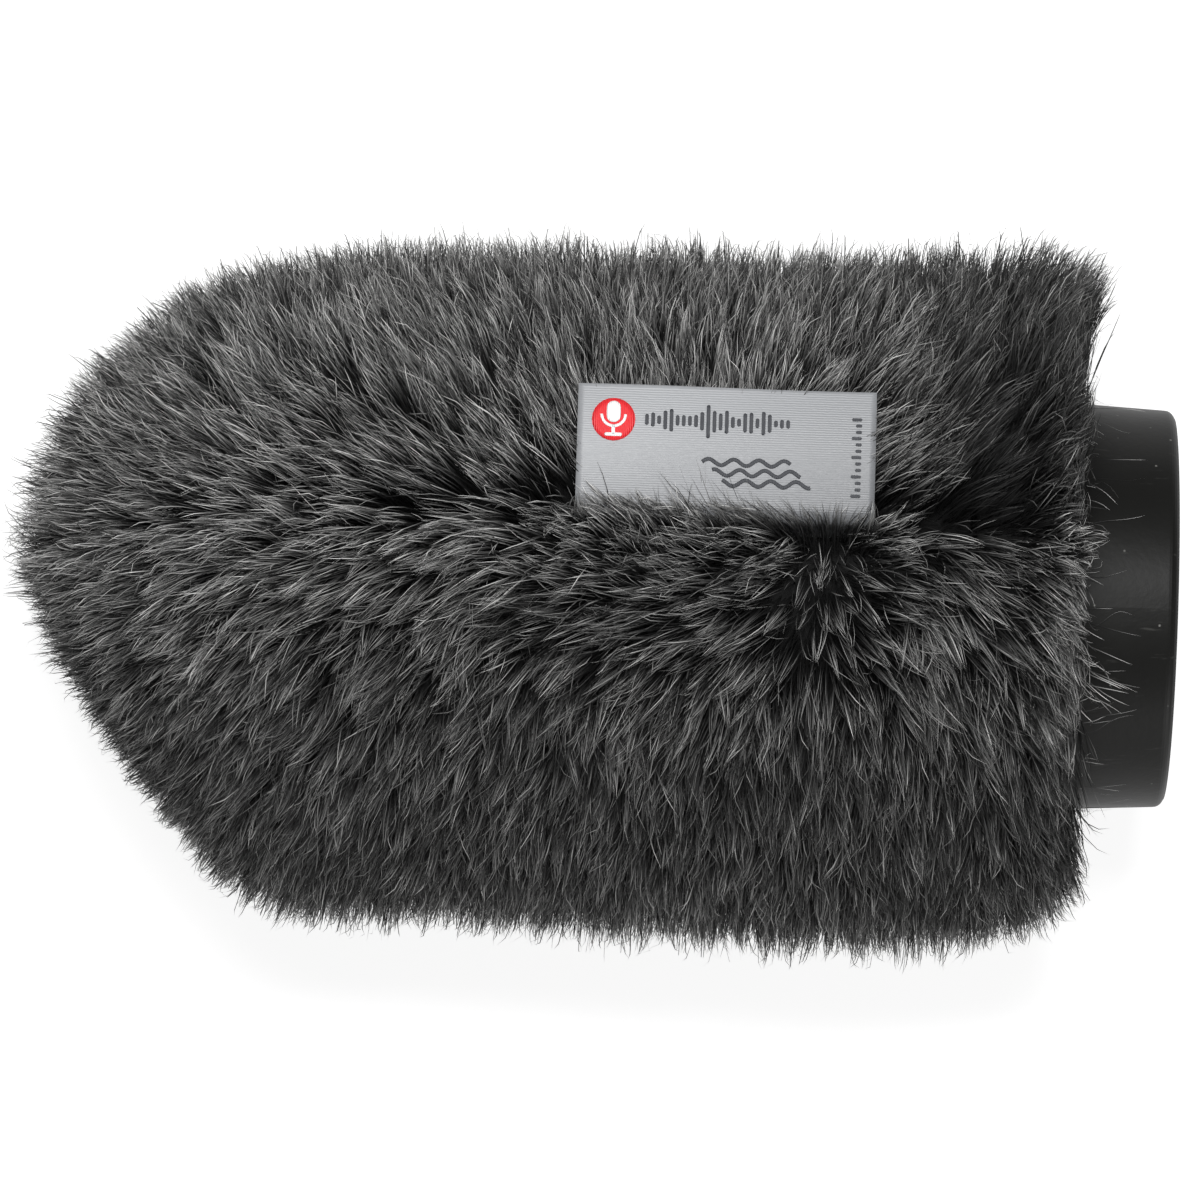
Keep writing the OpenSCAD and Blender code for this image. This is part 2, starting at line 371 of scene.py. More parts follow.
# Middle line of the label, seen along X: straight up in the seam, a bend at the fold, then a
# low arch. Distances run from the fold; below zero they go down into the seam.
def labelLine(distance):
    turn = ease(np.clip((distance / label["bend"] + 1) / 2, 0, 1)[:, None]) * label["lie"]
    step = np.diff(distance, prepend=distance[0])[:, None]
    heading = np.cos(turn) * spoke(0.0)[1:] + np.sin(turn) * spoke(np.pi / 2)[1:]
    line = np.cumsum(heading * step, 0)
    line += foldAt[1:] - line[np.argmin(np.abs(distance))]
    share = np.clip(distance / label["length"], 0, 1)[:, None]
    arch = label["droop"] * np.sin(np.pi * share) * (share > 0)
    return line + arch * spoke(label["lie"] - np.pi / 2)[1:]


labelWide = label["to"] - label["from"]
labelMiddle = (label["to"] + label["from"]) / 2
labelSteps = np.linspace(-label["sewnIn"] - 1 * mm, label["length"], 120)
labelCurve = labelLine(labelSteps)


# The way out of the label's fold, halfway into the flap's turn.
foldUp = spoke(math.radians(25))


# Keeps pile off the label and above the table: hairs of the right panel lie under the flap,
# and those of the left panel over it. Slack, from 0 to 1, keeps hairs from lying in one layer.
def pressPile(points, slack, overFlap=False):
    x, y, z = points[..., 0], points[..., 1], points[..., 2]
    flap = labelCurve[labelSteps > 0.5 * mm]
    middle = np.interp(y, flap[:, 0], flap[:, 1])
    clear = label["thick"] + (0.3 + slack) * mm
    near = ((x < -label["from"] + 0.4 * mm) & (x > -label["to"] - 0.4 * mm) & (z > 0)
            & (y > flap[:, 0].min() - 0.2 * mm) & (y < flap[-1, 0] + 0.6 * mm))
    z = np.where(near & ~np.asarray(overFlap), np.minimum(z, middle - clear), z)
    z = np.where(near & overFlap, np.maximum(z, middle + clear * 0.8), z)
    z = np.maximum(z, body["bellyZ"] + (0.1 + 0.7 * slack) * mm)
    return np.stack([x, y, z], -1)


# Pile.

# The left panel's hairs that stand against the label's root and lean over its fold.
def overFold(ahead, angle):
    return ((angle < 0) & (angle > -pile["foldBand"])
            & (ahead > label["from"] - 4 * mm) & (ahead < label["to"] + 1 * mm))


# How far the comb of the fold reaches beyond those hairs: 1 in their band, then down to 0.
def foldPull(ahead, angle):
    share = np.clip(1 + (angle + pile["foldBand"]) / pile["foldFade"], 0, 1) * (angle < 0)
    rearEnd = np.clip((ahead - label["from"] + 6 * mm) / (4 * mm), 0, 1)
    frontEnd = np.clip((label["to"] + 8 * mm - ahead) / (9 * mm), 0, 1)
    return ease(share) * (rearEnd * frontEnd)


# How far tips lie beside their roots: round the axis, and ahead towards the nose.
def combing(ahead, angle):
    away = np.abs(angle)
    onRight = angle > 0

    def combed(kind):
        right, left = (np.interp(ahead / mm, pile["combAhead"], pile[side + kind])
                       for side in ("right", "left"))
        return np.where(onRight, right, left)

    atSeam, openField = combed("Seam"), combed("Open")
    fade = np.exp(-away / np.where(onRight, 0.42, 0.34))
    turn = np.radians(openField + (atSeam - openField) * fade)
    turn += (np.radians(np.interp(ahead / mm, *pile["foldComb"])) - turn) * foldPull(ahead, angle)
    flatten = np.clip((away - 0.4) / 1.1, 0, 1)
    reach = pile["lean"] * (1 - 0.48 * ease(flatten)) * (1 - 0.55 * overDome(ahead) ** 3)
    reach = reach * (1 - 0.34 * foldPull(ahead, angle) ** 3)
    return np.where(onRight, 1.0, -1.0) * reach * np.cos(turn), reach * np.sin(turn)


# Height of the pile: lower at the hem, along both seams, over the label's fold and in each hollow.
def pileHeight(ahead, angle):
    hem = (0.30 - 0.20 * np.cos(angle - 1.3)) * np.exp(-(ahead - body["hemAt"]) / (5 * mm))
    nearTop = np.exp(-np.maximum(-angle - 0.1, 0) / 0.4) * np.exp(-np.maximum(angle - 0.55, 0) / 0.3)
    dip = 0.50 * bell(ahead, body["cuffSeamAt"], 2.8 * mm) * nearTop
    parting = 0.10 * bell(angle, 0, 0.05)
    share = 1 - hem - dip - parting - 0.17 * overFold(ahead, angle)
    for at, turn, deep, reach, spread in pile["hollows"]:
        share = share - deep * bell(ahead / mm, at, reach) * bell(angle, turn, spread)
    return pile["depth"] * share


# Hairs as curves: from its root a hair climbs as 1 - (1 - t)^1.7 and goes sideways as t^1.5,
# and every point is put back at its height over the bullet-shaped backing.
def hairCurves(ahead, angle, height, lean, share):
    centre, outward, rise = placeOnPile(ahead, angle)
    roundAxis = np.cross(outward, [1.0, 0.0, 0.0])
    roundAxis /= np.maximum(lengths(roundAxis), 1e-6)
    forward = np.cross(outward, roundAxis)
    forward *= np.where(forward[..., :1] > 0, -1.0, 1.0)
    roundAxis *= np.sign((roundAxis * spoke(angle + np.pi / 2)).sum(-1, keepdims=True))
    side = roundAxis * lean[..., :1] * np.cos(rise) + forward * lean[..., 1:2]
    climb = 1 - (1 - share) ** 1.7
    radius = body["backRadius"] + height[:, None] * climb
    points = (centre[:, None] + outward[:, None] * radius[..., None]
              + side[:, None] * (share ** 1.5)[..., None])
    middle = np.zeros(points.shape)
    middle[..., 0] = np.maximum(points[..., 0], -body["domeAt"])
    away = points - middle
    return middle + away / lengths(away) * radius[..., None]


# Tapered ribbons: three quads and a triangle for every five points, each turned a random
# amount about its own length.
def ribbonMesh(name, curves, width, tones):
    count, points = curves.shape[:2]
    along = np.gradient(curves, axis=1)
    along /= np.maximum(lengths(along), 1e-9)
    outward = curves.copy()
    outward[..., 0] -= np.maximum(curves[..., 0], -body["domeAt"])
    flat = np.cross(along, outward)
    flat /= np.maximum(lengths(flat), 1e-9)
    twist = random.uniform(-1.1, 1.1, (count, 1, 1))
    flat = flat * np.cos(twist) + np.cross(along, flat) * np.sin(twist)
    share = np.linspace(0, 1, points)
    half = width[:, None] / 2 * np.sqrt(1 - share ** 2)[None]
    across = flat * half[..., None]
    corners = np.stack([curves - across, curves + across], 2)[:, :-1].reshape(count, -1, 3)
    corners = np.concatenate([corners, curves[:, -1:]], 1)

    perHair = 2 * points - 1
    loops = []
    for i in range(points - 2):
        loops += [2 * i, 2 * i + 1, 2 * i + 3, 2 * i + 2]
    loops += [perHair - 3, perHair - 2, perHair - 1]
    starts = 4 * np.arange(points - 1)
    vertexIndex = (np.array(loops)[None] + perHair * np.arange(count)[:, None]).ravel()
    loopStart = (starts[None] + len(loops) * np.arange(count)[:, None]).ravel()

    height = pile["buried"] + (1 - pile["buried"]) * share
    slot = np.floor(np.clip(tones, 0, 0.999) * pile["toneSteps"])
    u = (slot[:, None] + np.array([0.2, 0.8])[None]) / pile["toneSteps"]
    uv = np.zeros((count, perHair, 2))
    uv[:, :-1, 0] = np.tile(u, (1, points - 1))
    uv[:, -1, 0] = u.mean(1)
    uv[:, :-1, 1] = np.repeat(height[:-1], 2)[None]
    uv[:, -1, 1] = 0.999

    mesh = bpy.data.meshes.new(name)
    mesh.vertices.add(count * perHair)
    mesh.vertices.foreach_set("co", corners.ravel())
    mesh.loops.add(len(vertexIndex))
    mesh.loops.foreach_set("vertex_index", vertexIndex.astype(np.int32))
    mesh.polygons.add(len(loopStart))
    mesh.polygons.foreach_set("loop_start", loopStart.astype(np.int32))
    mesh.update(calc_edges=True)
    layer = mesh.uv_layers.new(name="OFBake")
    layer.data.foreach_set("uv", uv.reshape(-1, 2)[vertexIndex].ravel())
    mesh.shade_smooth()
    return linkPiece(name, mesh)


# Tuft centres on a jittered grid of equal areas.
pileLong = body["domeAt"] + body["furRadius"] - body["hemAt"]
tuftRows = round(pileLong / pile["tuftSpacing"])
tuftColumns = round(2 * math.pi * body["furRadius"] / pile["tuftSpacing"])
row, column = np.meshgrid(np.arange(tuftRows), np.arange(tuftColumns), indexing="ij")
row, column = row.ravel(), column.ravel()
tufts = len(row)
jitter = random.uniform(0, 1, (2, tufts))
tuftAhead = body["hemAt"] + (row + jitter[0]) / tuftRows * pileLong
tuftAngle = (column + jitter[1] + 0.5 * (row % 2)) / tuftColumns * 2 * np.pi
tuftAngle = tuftAngle % (2 * np.pi) - np.pi
tuftCentre, tuftOut, _ = placeOnPile(tuftAhead, tuftAngle)
tuftPlace = tuftCentre + tuftOut * body["furRadius"]
clump = lumps(tuftPlace, 6 * mm, 14, 12)

# Tufts sway to either side of the combing, and their tips stop at the hem. They fan out past it
# where the fur is seen from the side.
sway = (0.26 * lumps(tuftPlace, 16 * mm, 5) + 0.24 * lumps(tuftPlace, 6.5 * mm, 11, 12)
        + random.normal(0, 1, tufts) * np.where(tuftAngle > 0, 0.17, 0.23))
combedRound, combedAhead = combing(tuftAhead, tuftAngle)
tuftLean = np.stack([combedRound * np.cos(sway) - combedAhead * np.sin(sway),
                     combedRound * np.sin(sway) + combedAhead * np.cos(sway)], -1)
tuftLean *= (1 + 0.20 * lumps(tuftPlace, 11 * mm, 8) + random.normal(0, 0.18, tufts))[:, None]
rearStop = (pile["rearStop"] - 6.5 * mm * bell(np.abs(tuftAngle + 0.15), 1.45, 0.4)
            + 1.1 * mm * lumps(tuftPlace, 9 * mm, 6) + random.normal(0, 1.3 * mm, tufts))
tuftLean[:, 1] = np.maximum(tuftLean[:, 1], rearStop - tuftAhead)
tuftTall = (pileHeight(tuftAhead, tuftAngle)
            * (1 + 0.03 * lumps(tuftPlace, 16 * mm, 3) + 0.05 * clump + random.normal(0, 0.04, tufts)))

# Painted shade: tips darken with the angle from the seam as listed in the pile's table, and more on the
# right panel's rear end, along the cuff seam and where the seams cross. They are paler over the nose.
away = np.abs(tuftAngle)
rearEnd = np.clip((50 * mm - tuftAhead) / (10 * mm), 0, 1)
tuftToneAndShade = np.where(tuftAngle > 0, np.interp(away, *pile["rightTipToneAndShade"]),
                    np.interp(away, *pile["leftTipToneAndShade"]))
tuftToneAndShade += 0.12 * overDome(tuftAhead) - (0.16 + 0.22 * bell(away, 0, 0.65)) * (tuftAngle > 0) * rearEnd
tuftToneAndShade -= 0.14 * bell(tuftAhead, body["cuffSeamAt"], 2.6 * mm) * bell(tuftAngle, 0.35, 0.5)
tuftToneAndShade -= 0.18 * bell(tuftAhead, 34 * mm, 6 * mm) * bell(tuftAngle, 0.06, 0.2)
tuftToneAndShade += 0.05 * lumps(tuftPlace, 20 * mm, 2) + 0.05 * clump + random.normal(0, 0.08, tufts)
print("tufts laid out:", tufts)

# Hairs of each tuft, which keep to their own side of the long seam and of the cuff's.
tuft = np.repeat(np.arange(tufts), pile["hairsPerTuft"])
count = len(tuft)
atAhead, atAngle, atToneAndShade = tuftAhead[tuft], tuftAngle[tuft], tuftToneAndShade[tuft]
onRight = atAngle > 0
inCuff = atAhead < body["cuffSeamAt"]
spread = pile["tuftSpacing"] / body["furRadius"] * 0.75
hairAhead = atAhead + random.normal(0, 0.55, count) * pile["tuftSpacing"]
hairAngle = atAngle + random.normal(0, 1, count) * spread
side = np.where(onRight, 1, -1)
hairAngle = side * np.where(np.abs(atAngle) < np.pi / 2,
                            np.maximum(side * hairAngle, pile["seamGap"]),
                            np.minimum(side * hairAngle, np.pi - pile["seamGap"]))
hairAhead = np.clip(hairAhead,
                    np.where(inCuff, body["hemAt"] + 0.2 * mm, body["cuffSeamAt"] + pile["cuffGap"]),
                    np.where(inCuff, body["cuffSeamAt"] - pile["cuffGap"],
                             body["domeAt"] + body["furRadius"] * 0.9999))
upHair = np.linspace(pile["buried"], 1, pile["points"])[None]
length = random.uniform(0.74, 1.06, count) * np.where(random.uniform(0, 1, count) < 0.15, 0.8, 1.0)
hairTall = tuftTall[tuft] * length
wayward = random.uniform(0, 1, count) < pile["wayward"]
hairLean = tuftLean[tuft] * random.uniform(0.85, 1.15, (count, 1)) + random.normal(0, 0.5 * mm, (count, 2))
hairLean = np.where(wayward[:, None], hairLean * 0.5 + random.normal(0, 3 * mm, (count, 2)), hairLean)
# Each hair starts on a curve of its own and is drawn towards its tuft's.
hairs = hairCurves(hairAhead, hairAngle, hairTall, hairLean, upHair)
guides = hairCurves(atAhead, atAngle, hairTall, tuftLean[tuft], upHair)
gather = np.where(wayward, 0.1, pile["gather"] * random.uniform(0.8, 1.15, count))[:, None] * upHair ** 1.6
hairs = hairs + (guides - hairs) * gather[..., None]
bow = random.normal(0, 1.1 * mm, (count, 1, 3)) * (np.sin(np.pi * upHair) * upHair)[..., None]
hairs = pressPile(hairs + bow, random.uniform(0, 1, (count, 1)), ~onRight[:, None])

black = random.uniform(0, 1, count) < pile["black"]
pale = (random.uniform(0, 1, count) < pile["pale"]) * random.uniform(0.1, 0.5, count)
pale = pale * np.maximum(atToneAndShade, 0.21) / 0.3
hairToneAndShade = atToneAndShade * np.where(black, 0.25, 1.1) + random.normal(0, 0.08, count) + pale * ~black
hairToneAndShade = np.clip(hairToneAndShade, 0.02, 0.97)
hairWidth = pile["hairWidth"] * random.uniform(0.7, 1.35, count)
print("hairs combed:", count)


def pilePiece(name, chosen, replaced):
    piece = ribbonMesh(name, hairs[chosen], hairWidth[chosen], hairToneAndShade[chosen])
    finish(piece, furMaterial)
    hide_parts(replaced)


# Left hairs that reach past the fold's plane anywhere beside the label go into a piece of their own.
offFold = hairs - foldAt
pastFold = ((hairs[..., 0] < -label["from"] + 2 * mm) & (hairs[..., 0] > -label["to"] - 2 * mm)
            & (offFold @ foldUp > 0) & (np.linalg.norm(offFold[..., 1:], axis=-1) < 20 * mm))
folded = ~onRight & ~inCuff & pastFold.any(1)

# Each panel's pile is cut into pieces of nearly equal counts, from the cuff seam to the nose.
for sideName, chosen in (("right", onRight), ("left", ~onRight & ~folded)):
    order = np.flatnonzero(chosen & ~inCuff)
    order = order[np.argsort(atAhead[order], kind="stable")]
    for part, members in zip(("rear", "middle", "front", "nose"), np.array_split(order, 4)):
        pilePiece(f"{sideName}_pile_{part}", members, f"{sideName}_fur_panel")
pilePiece("cuff_pile", np.flatnonzero(inCuff), "rear_fur_cuff")
print("pile made")


# Underfur.

# Heights are shares of the pile's depth, and angles are radians.
underfur = {
    "atSeam": 0.30,
    "risesBy": 0.22,  # away from the seam
    "seamReach": 0.16,
    "seamGap": 0.02,
    "hemDip": 0.5,  # share that is lost at the hem
    "lift": 0.5 * mm,  # of its underside, off the middle of the backing
}


# Closed body between two heights over the backing: for each step ahead a loop runs out along the
# top and back along the bottom, and faces between top and bottom close the loops at both ends.
def underfurBody(name, ahead, angles, replaced):
    ahead, angles = np.meshgrid(ahead, angles, indexing="ij")
    centre, outward, _ = placeOnPile(ahead, angles)
    edge = np.minimum(np.abs(angles), underfur["seamReach"]) / underfur["seamReach"]
    top = pile["depth"] * (underfur["atSeam"] + underfur["risesBy"] * ease(edge))
    top *= 1 + 0.06 * lumps(outward, 0.35, 4)
    top *= 1 - underfur["hemDip"] * np.exp(-(ahead - body["hemAt"]) / (3 * mm))
    low = centre + outward * (body["backRadius"] + underfur["lift"])
    high = pressPile(centre + outward * (body["backRadius"] + top)[..., None], 1.0)
    points = np.concatenate([high, low[:, ::-1]], 1)
    rows, across = points.shape[:2]
    faces = gridFaces(rows, across, False, True).tolist()
    for start in (0, (rows - 1) * across):
        faces += [[start + j, start + j + 1, start + across - 2 - j, start + across - 1 - j]
                  for j in range(across // 2 - 1)]
    piece = weld(addMesh(name, points, faces))
    finish(piece, underfurMaterial)
    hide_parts(replaced)


panelAhead = np.concatenate([np.linspace(body["cuffSeamAt"] + 0.5 * mm, body["domeAt"], 50),
                             body["domeAt"] + body["furRadius"] * np.sin(np.linspace(0.03, np.pi / 2, 30))])
sideAngles = np.linspace(underfur["seamGap"], np.pi - underfur["seamGap"], 70)
underfurBody("right_underfur", panelAhead, sideAngles, "right_fur_panel")
underfurBody("left_underfur", panelAhead, -sideAngles[::-1], "left_fur_panel")
underfurBody("cuff_underfur", np.linspace(body["hemAt"] + 1 * mm, body["cuffSeamAt"] - 0.5 * mm, 9),
             np.linspace(underfur["seamGap"], 2 * np.pi - underfur["seamGap"], 140), "rear_fur_cuff")
print("underfur made")


# Label.

# Satin threads run along the label. Both cut ends are sealed by heat, which leaves them paler.
def labelPaint(start):
    place = objectPlace(start)
    alongX, alongY, _ = split(place)
    threads = ribs(place, "Y", 900.0, {"Distortion": 1.5, "Detail": 2.0})
    slub = noise(place, 1600.0, 3.0, 0.7)
    shade = noise(place, 70.0, 2.0)
    fromEnd = ((alongX + labelMiddle).maths("ABSOLUTE") - labelWide / 2).maths("ABSOLUTE")
    sealed = fromEnd.step(0.7 * mm, 0.3 * mm)
    tone = threads * 0.15 + slub * 0.55 + shade * 0.3
    # Painted shade: the weave is darker towards the fold and the right end, standing in for the shading of
    # the curved label.
    lie = (alongY - alongX * 0.35).step(0.026, 0.057)
    paintedLitWeave = tone.mix((0.205, 0.211, 0.222), (0.305, 0.312, 0.324))
    paintedShadedWeave = tone.mix((0.098, 0.102, 0.109), (0.160, 0.165, 0.173))
    return {"Base Color": sealed.mix(lie.mix(paintedShadedWeave, paintedLitWeave), (0.34, 0.345, 0.35)),
            "Roughness": 0.36 + slub * 0.2,
            "Normal": bump(threads * 0.5 + slub, 0.035 * mm)}


# Embroidery thread: fine rows across the motif, shaded between two colours.
def embroidery(dark, light):
    def paint(start):
        place = objectPlace(start)
        rows = ribs(place, "X", 1100.0, {"Distortion": 1.0})
        fibres = noise(place, 2200.0, 2.0, 0.7)
        return {"Base Color": (rows * 0.45 + fibres * 0.55).mix(dark, light),
                "Normal": bump(rows + fibres, 0.05 * mm)}
    return paint


labelMaterial = makeMaterial("labelSatin", {"Specular IOR Level": 0.5, "Sheen Weight": 0.15}, labelPaint)
inkMaterial = makeMaterial("labelInk", {"Roughness": 0.6},
                           embroidery((0.022, 0.024, 0.03), (0.06, 0.063, 0.07)))
redMaterial = makeMaterial("labelRed", {"Roughness": 0.5},
                           embroidery((0.50, 0.006, 0.012), (0.78, 0.022, 0.028)))
whiteMaterial = makeMaterial("labelWhite", {"Roughness": 0.5},
                             embroidery(0.62, 0.86))


# Points on the label: (distance from the left end, distance from the fold, height over the middle).
def onLabel(across, fromFold, lift):
    def line(distance):
        return np.stack([np.interp(distance, labelSteps, labelCurve[:, k]) for k in (0, 1)], -1)

    heading = line(fromFold + 0.3 * mm) - line(fromFold - 0.3 * mm)
    heading /= lengths(heading)
    upward = np.stack([-heading[..., 1], heading[..., 0]], -1)
    free = np.clip(fromFold / label["length"], 0, 1)
    curl = label["curl"] * free * np.sin(across / labelWide * 5.2 + 0.6)
    yz = line(fromFold) + upward * (lift + curl)[..., None]
    return np.concatenate([(-label["to"] + across)[..., None], yz], -1)


clothSteps = np.linspace(-label["sewnIn"], label["length"] - 0.1 * mm, label["rows"])
across, fromFold = np.meshgrid(np.linspace(0, labelWide, label["columns"]), clothSteps, indexing="ij")
labelPiece = addMesh("woven_label", onLabel(across, fromFold, 0 * across), gridFaces(*across.shape))
thicken(labelPiece, label["thick"])
finish(labelPiece, labelMaterial, rides=None)
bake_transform(labelPiece)
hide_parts("label_root", "label_flap")
print("label folded")


# Motifs woven on the label: distances from its left end, then from the fold.
motif = {
    "lift": 0.12 * mm,
    "thick": 0.16 * mm,
    "disc": (5.3 * mm, 13.5 * mm, 6.4 * mm),  # place and diameter
    "head": (5.3 * mm, 14.6 * mm, 2.1 * mm, 3.2 * mm),
    "foot": (5.3 * mm, 11.2 * mm, 2.6 * mm, 0.5 * mm),
    "cup": (14.2 * mm, 1.75 * mm, 0.4 * mm),  # height, radius and line
    "stem": (11.2 * mm, 12.6 * mm, 0.5 * mm),  # from, to and line
    "bars": 24,
    "barsFrom": 10.2 * mm,
    "barsTo": 31.0 * mm,
    "barsMiddle": 13.6 * mm,
    "barWide": 0.56 * mm,
    # The wind sign under the bars and the ticks at the right end, in mm.
    "waves": {"count": 3, "place": (18.5, 7.6), "step": 1.5, "long": 13.0, "high": 0.45, "line": 0.55},
    "ticks": {"count": 13, "place": (41.9, 3.2), "step": 0.95, "long": (1.5, 0.9, 0.9), "line": 0.45},
}


# A round-ended bar as rings that shrink to its middle: a circle whose halves are moved apart
# along the bar's longer side, times the ring's share.
def bar(across, fromFold, wide, high, rings=5, steps=24):
    turn, share = np.meshgrid(np.linspace(0, 2 * np.pi, steps + 1), np.linspace(0, 1, rings), indexing="ij")
    radius = min(wide, high) / 2
    sideways = radius * np.cos(turn) + (wide / 2 - radius) * np.sign(np.round(np.cos(turn), 6))
    upward = radius * np.sin(turn) + (high / 2 - radius) * np.sign(np.round(np.sin(turn), 6))
    return across + share * sideways, fromFold + share * upward


# A band along a path on the label: each path point moved half a width to either side.
def band(across, fromFold, wide):
    rise, run = np.gradient(fromFold), np.gradient(across)
    length = np.hypot(rise, run)
    offset = np.linspace(-wide / 2, wide / 2, 4)
    return (across[:, None] - rise[:, None] / length[:, None] * offset,
            fromFold[:, None] + run[:, None] / length[:, None] * offset)


# One piece from several patches, each a pair of grids of places on the label.
def motifPiece(name, patches, material, replaced, lift):
    points, faces, count = [], [], 0
    for across, fromFold in patches:
        points.append(onLabel(across, fromFold, lift + 0 * across).reshape(-1, 3))
        faces.append(gridFaces(*across.shape) + count)
        count += across.size
    piece = weld(addMesh(name, np.concatenate(points), np.concatenate(faces)), 0.002 * mm)
    thicken(piece, motif["thick"])
    finish(piece, material, "label")
    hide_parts(replaced)


# A row of level bars, three waves and a column of ticks.
def legendPatches():
    place = np.linspace(0, 1, motif["bars"])
    high = (1.0 + 4.2 * np.abs(np.sin(9.1 * place + 0.5) * np.sin(23.0 * place + 1.0))
            * np.sin(np.pi * np.clip(place, 0.06, 0.94)) ** 0.6) * mm
    patches = [bar(motif["barsFrom"] + p * (motif["barsTo"] - motif["barsFrom"]), motif["barsMiddle"],
                   motif["barWide"], h) for p, h in zip(place, high)]
    waves, ticks = motif["waves"], motif["ticks"]
    along = np.linspace(0, 1, 60)
    for i in range(waves["count"]):
        run = waves["place"][0] + waves["step"] * i + waves["long"] * along
        rise = waves["place"][1] - waves["step"] * i + waves["high"] * np.sin(along * 22 + i)
        patches.append(band(run * mm, rise * mm, waves["line"] * mm))
    for i in range(ticks["count"]):
        long = ticks["long"][i % 3]
        patches.append(bar((ticks["place"][0] - long / 2) * mm,
                           (ticks["place"][1] + i * ticks["step"]) * mm, long * mm, ticks["line"] * mm))
    return patches


onFace = label["thick"] / 2 + motif["lift"] / 2
motifPiece("emblem_disc", [bar(*motif["disc"], motif["disc"][2])], redMaterial,
           "label_emblem", onFace)
cupAt, cupRadius, cupLine = motif["cup"]
stemFrom, stemTo, stemLine = motif["stem"]
cupTurn = np.linspace(np.pi, 2 * np.pi, 30)
motifPiece("emblem_microphone", [
    bar(*motif["head"]),
    bar(*motif["foot"]),
    band(motif["head"][0] + cupRadius * np.cos(cupTurn), cupAt + cupRadius * np.sin(cupTurn), cupLine),
    band(motif["head"][0] + 0 * cupTurn, np.linspace(stemFrom, stemTo, 30), stemLine),
], whiteMaterial, "emblem_mark", onFace + motif["thick"])
motifPiece("label_pattern", legendPatches(), inkMaterial, "label_legend", onFace)
print("motifs woven")


# Stray hairs over the label's fold.

stray = {
    "count": 650,
    "rise": 2.2 * mm,  # how high they stand over the fold
    "reach": 3.2 * mm,  # how far most lie over the label
    "farReach": 9.0 * mm,  # and a few in its middle
    "middle": 68 * mm,  # ahead of the rear face
    # Which way they run, from -1, rearward, to 1, for distances ahead in mm.
    "runs": ([44, 50, 57, 90], [-1.0, -0.4, 0.9, 1.0]),
}

# Each hair bends once: point = (1-t)^2 root + 2 t (1-t) crown + t^2 tip.
strays = stray["count"]
rootAhead = random.uniform(label["from"] + 1 * mm, label["to"] - 1 * mm, strays)
rootAngle = -random.uniform(0.012, 0.12, strays)
run = np.interp(rootAhead / mm, *stray["runs"]) * random.uniform(2, 11, strays) * mm
tipAhead = np.clip(rootAhead + run, label["from"] + 0.3 * mm, label["to"] - 0.3 * mm)
nearReach = random.uniform(0, 1, strays) < 0.86
over = np.where(nearReach, random.uniform(0.1, 1, strays) ** 1.3 * stray["reach"],
                random.uniform(0.3, 1, strays) * stray["farReach"]
                * bell(rootAhead, stray["middle"], 9 * mm) + 0.5 * mm)
centre, outward, _ = placeOnPile(rootAhead, rootAngle)
strayRoot = centre + outward * (body["backRadius"] + pile["depth"] * 0.55)
strayTip = onLabel(label["to"] - tipAhead, over, random.uniform(0.4, 0.9, strays) * mm)
crown = (np.stack([-(rootAhead + 0.4 * run), foldAt[1] + 0 * run, foldAt[2] + 0 * run], -1)
         + spoke(0.0) * (stray["rise"] * random.uniform(0.4, 1.2, strays))[:, None]
         + spoke(-1.35) * random.uniform(0.2, 1.5, strays)[:, None] * mm)
t = np.linspace(0, 1, 6)[None, :, None]
strayCurves = ((1 - t) ** 2 * strayRoot[:, None] + 2 * t * (1 - t) * crown[:, None]
               + t ** 2 * strayTip[:, None])
strayCurves += random.normal(0, 0.3 * mm, (strays, 1, 3)) * np.sin(np.pi * t)
strayTone = np.clip(0.24 + random.normal(0, 0.16, strays), 0.03, 0.9)
strayWidth = pile["hairWidth"] * random.uniform(0.5, 0.9, strays)
strayPiece = ribbonMesh("stray_hairs", strayCurves, strayWidth, strayTone)
members = np.flatnonzero(folded)
foldPiece = ribbonMesh("fold_hairs", hairs[members], hairWidth[members], hairToneAndShade[members])
for piece in (strayPiece, foldPiece):
    finish(piece, furMaterial, rides=None)
    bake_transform(piece)
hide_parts("left_fur_panel")
print("fold hairs laid:", len(members))


# Collar and the pieces inside.

# Satin rubber with a faint bloom, fine scuffs and a few specks of dust.
def rubberPaint(start):
    place = objectPlace(start)
    grain = noise(place, 900.0, 3.0, 0.6)
    bloom = noise(place, 55.0, 4.0, 0.6)
    drawnOut = start.add("ShaderNodeMapping", {}, {"Vector": place, "Scale": (160.0, 1200.0, 1200.0)})
    scuff = noise(drawnOut, 1.0, 3.0, 0.6).step(0.62, 0.78)
    specks = cells(place, "F1", 420.0).step(0.10, 0.04)
    dust = specks * noise(place, 130.0, 1.0).step(0.5, 0.6)
    rubber = bloom.mix((0.0035, 0.0035, 0.0032), (0.0075, 0.0075, 0.0068))
    return {"Base Color": (dust * 0.8 + scuff * 0.12).mix(rubber, (0.16, 0.16, 0.15)),
            "Roughness": 0.39 + bloom * 0.14 + scuff * 0.12,
            "Normal": bump(grain, 0.03 * mm)}


# Braided elastic: ribs round the hem, crossed by finer threads.
def elasticPaint(start):
    place = objectPlace(start)
    braid = ribs(place, "X", 320.0)
    fibres = noise(place, 1500.0, 3.0, 0.7)
    return {"Base Color": (braid * 0.5 + fibres * 0.5).mix((0.006, 0.006, 0.007), (0.035, 0.035, 0.038)),
            "Normal": bump(braid + fibres * 0.5, 0.15 * mm)}


# Spun thread: plies wind round, and short fibres stand off it.
def threadPaint(start):
    place = objectPlace(start)
    plies = ribs(place, "DIAGONAL", 700.0)
    fuzz = noise(place, 3000.0, 3.0, 0.7)
    return {"Base Color": (plies * 0.6 + fuzz * 0.4).mix(0.006, 0.04),
            "Normal": bump(plies + fuzz * 0.4, 0.08 * mm)}


